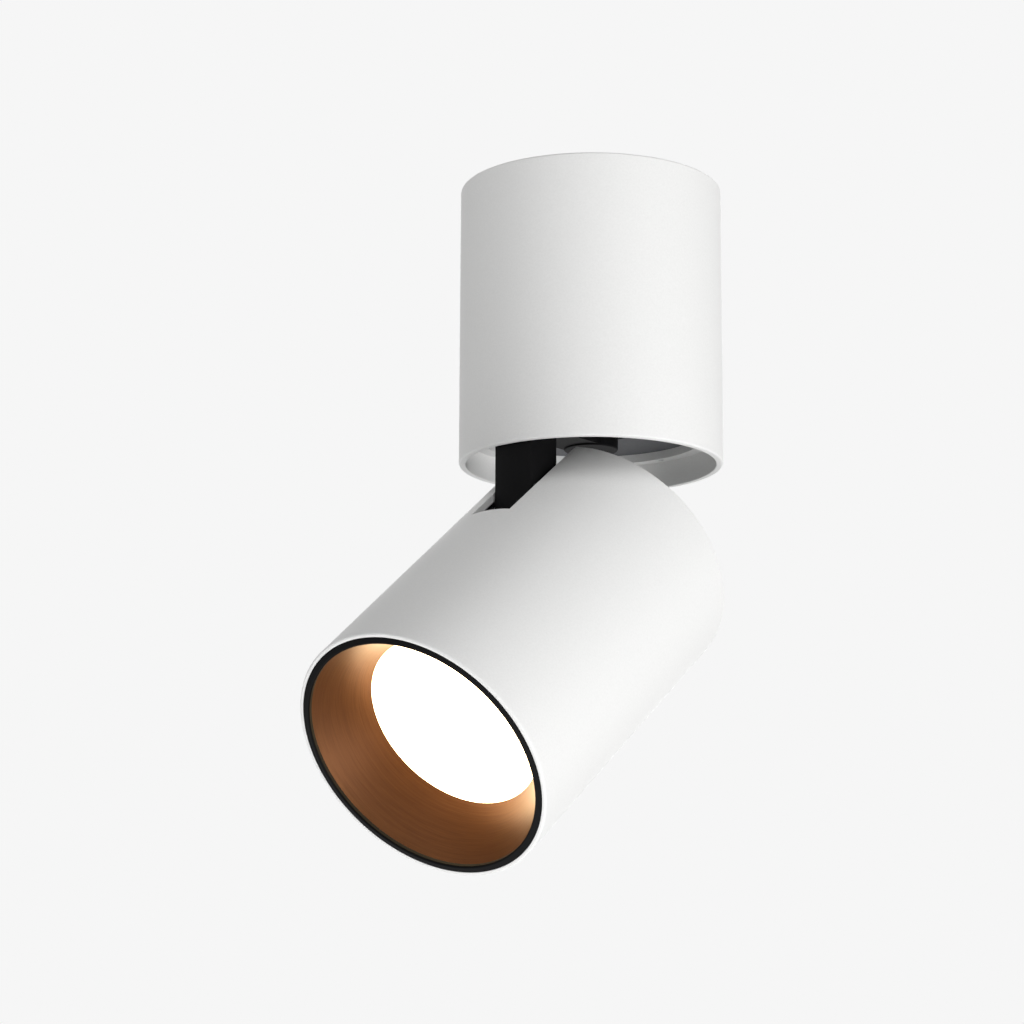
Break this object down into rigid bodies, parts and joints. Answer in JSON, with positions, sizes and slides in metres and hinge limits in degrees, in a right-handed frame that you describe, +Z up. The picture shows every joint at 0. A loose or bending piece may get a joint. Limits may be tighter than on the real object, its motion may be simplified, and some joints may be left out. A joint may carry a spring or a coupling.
{
  "type": "cylinder spotlight",
  "caption": "Surface-mounted ceiling spotlight: a cylindrical canopy with an equal cylindrical head that swivels and folds down on a black yoke, with a recessed lens in a brushed cone.",
  "frame": {"origin": "centre of the canopy's ceiling face, between the two ceiling screws", "axes": "+Z up, out of the ceiling face and along the axis of the canopy; -Y is the way the head tilts at rest; +X is along the tilt pin"},
  "size_m": [0.075, 0.1319, 0.1999],
  "materials": {
    "white_powder_coat": "matte",
    "black_powder_coat": "satin",
    "black_anodised": "satin",
    "bronze_anodised": "satin",
    "raw_aluminium": "satin",
    "polished_aluminium": "polished",
    "zinc_plated_steel": "satin",
    "spring_steel": "satin",
    "blackened_steel": "satin",
    "brass": "satin",
    "grommet_rubber": "matte",
    "white_polyamide": "matte",
    "acetal": "satin",
    "white_polycarbonate": "satin",
    "circuit_board": "satin",
    "ferrite": "matte",
    "capacitor_sleeve": "gloss",
    "copper_winding": "gloss",
    "brown_insulation": "satin",
    "earth_insulation": "satin",
    "black_insulation": "satin",
    "friction_fibre": "matte",
    "thermal_pad": "matte",
    "led_board": "matte",
    "phosphor": "matte",
    "opal_lens": "satin"
  },
  "bodies": {
    "canopy": {"upper_shell": "white_powder_coat", "ledge_ring": "white_powder_coat", "ceiling_plate": "zinc_plated_steel", "cable_grommet": "grommet_rubber", "grub_screws": "zinc_plated_steel", "terminal_block": "white_polyamide", "terminal_barrels": "brass", "terminal_screws": "zinc_plated_steel", "block_screw": "zinc_plated_steel", "earth_screw": "brass", "partition": "raw_aluminium", "partition_screws": "zinc_plated_steel", "driver_bracket": "zinc_plated_steel", "bracket_screws": "zinc_plated_steel", "driver_case": "white_polycarbonate", "driver_screws": "zinc_plated_steel", "driver_lid": "white_polycarbonate", "driver_board": "circuit_board", "driver_transformer": "ferrite", "driver_capacitors": "capacitor_sleeve", "driver_choke": "copper_winding", "mains_leads": "brown_insulation", "earth_lead": "earth_insulation", "output_lead": "black_insulation"},
    "yoke": {"yoke": "black_powder_coat", "swivel_nut": "zinc_plated_steel", "wave_washer": "spring_steel", "slip_washer": "acetal", "stop_pin": "zinc_plated_steel", "yoke_lead": "black_insulation"},
    "head": {"head_shell": "white_powder_coat", "back_cover": "white_powder_coat", "back_cover_screws": "zinc_plated_steel", "heatsink": "raw_aluminium", "tilt_pin": "blackened_steel", "tilt_nut": "zinc_plated_steel", "friction_washers": "friction_fibre", "thermal_pad": "thermal_pad", "led_board": "led_board", "led_emitter": "phosphor", "cob_holder": "white_polyamide", "cob_screws": "zinc_plated_steel", "reflector": "polished_aluminium", "spacer_tube": "black_anodised", "lens_carrier": "black_anodised", "lens": "opal_lens", "anti_glare_cone": "bronze_anodised", "front_ring": "black_anodised", "head_lead": "black_insulation"}
  },
  "joints": [
    {"name": "pan", "type": "hinge", "parent": "canopy", "child": "yoke", "pos_m": [0, 0, -0.07], "axis": [0, 0, 1], "range_deg": [-165, 165]},
    {"name": "tilt", "type": "hinge", "parent": "yoke", "child": "head", "pos_m": [0, -0.023, -0.1025], "axis": [-1, 0, 0], "range_deg": [-51, 39]}
  ]
}
